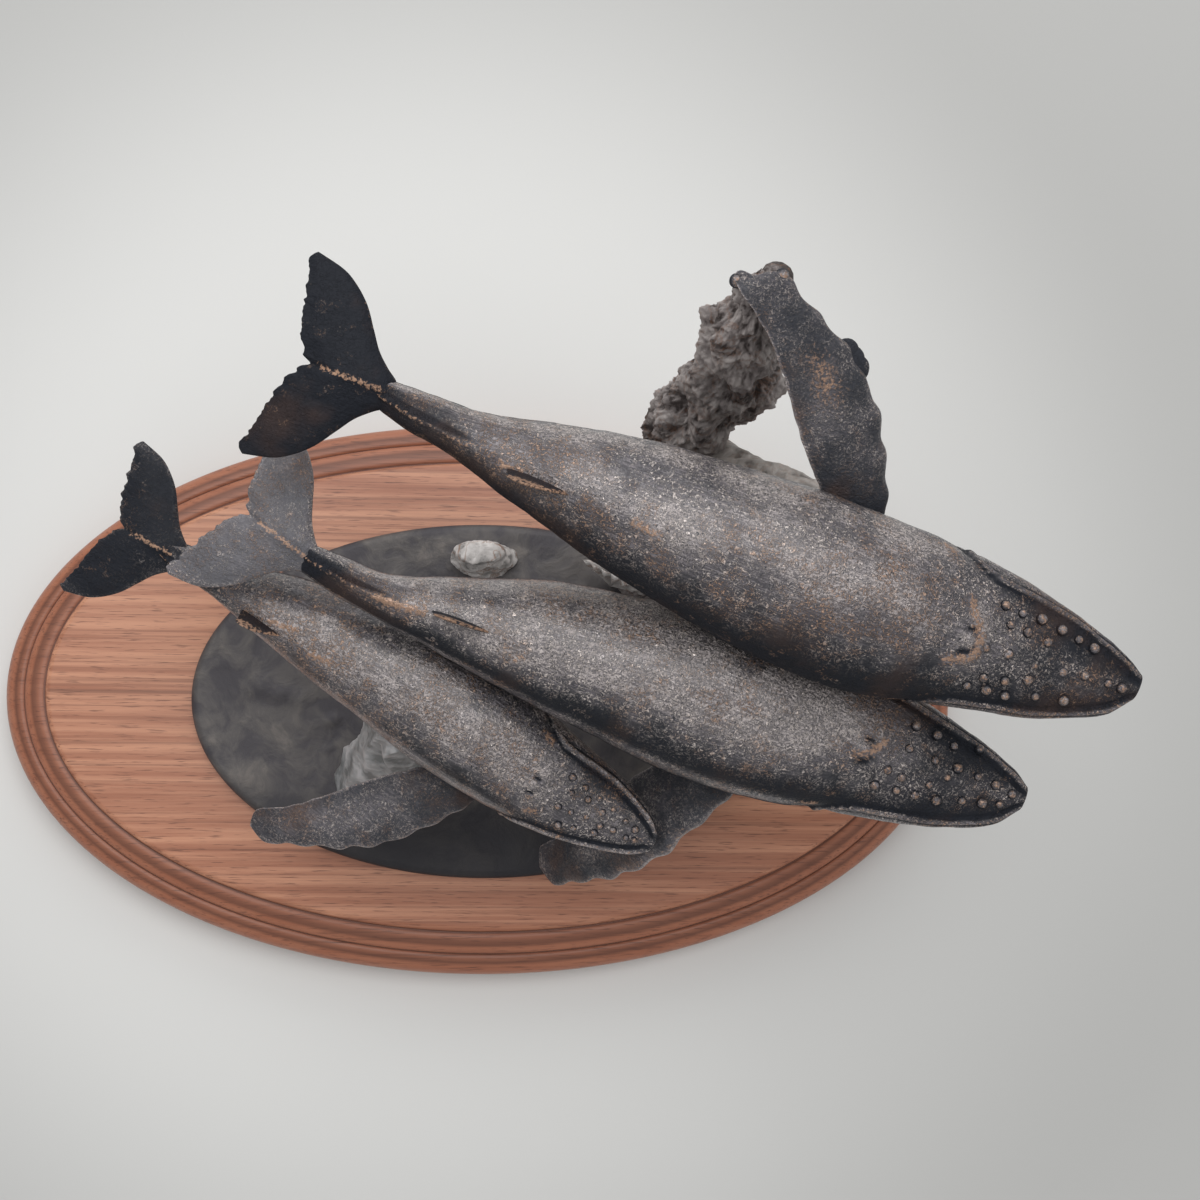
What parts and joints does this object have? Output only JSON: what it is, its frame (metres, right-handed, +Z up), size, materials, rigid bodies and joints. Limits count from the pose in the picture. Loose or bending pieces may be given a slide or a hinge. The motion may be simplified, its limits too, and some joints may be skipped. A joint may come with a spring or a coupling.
{
  "type": "whale_figurine",
  "caption": "Desk bronze of humpback whales swimming over a rock reef, on a sea-floor casting and an oval walnut base with a moulded edge",
  "frame": {"origin": "centre of the felt's underside, on the surface that the figurine stands on", "axes": "+X the way the whales swim, along the board's long axis; +Y to the back, where the large whale and the spire are; +Z up"},
  "size_m": [0.3211, 0.1922, 0.1805],
  "materials": {
    "walnut": "satin varnished walnut",
    "felt": "dark felt",
    "steel": "zinc plated",
    "floor_bronze": "dark patinated bronze with olive marbling",
    "rock_bronze": "rough cast bronze with a grey-brown patina",
    "pin_bronze": "plain bronze rod",
    "whale_bronze": "blue-black patinated bronze with copper wear"
  },
  "bodies": {
    "root": {"base_board": "walnut", "felt_pad": "felt", "base_screws": "steel", "base_washers": "steel", "sea_floor": "floor_bronze", "reef_spire": "rock_bronze", "reef_ledge": "rock_bronze", "reef_saddle": "rock_bronze", "front_rock": "rock_bronze", "back_rock": "rock_bronze", "coral_fan": "rock_bronze", "joining_pins": "pin_bronze", "large_whale_body": "whale_bronze", "large_whale_flukes": "whale_bronze", "large_whale_left_flipper": "whale_bronze", "large_whale_right_flipper": "whale_bronze", "middle_whale_body": "whale_bronze", "middle_whale_flukes": "whale_bronze", "middle_whale_left_flipper": "whale_bronze", "middle_whale_right_flipper": "whale_bronze", "calf_body": "whale_bronze", "calf_flukes": "whale_bronze", "calf_left_flipper": "whale_bronze", "calf_right_flipper": "whale_bronze"}
  },
  "joints": []
}
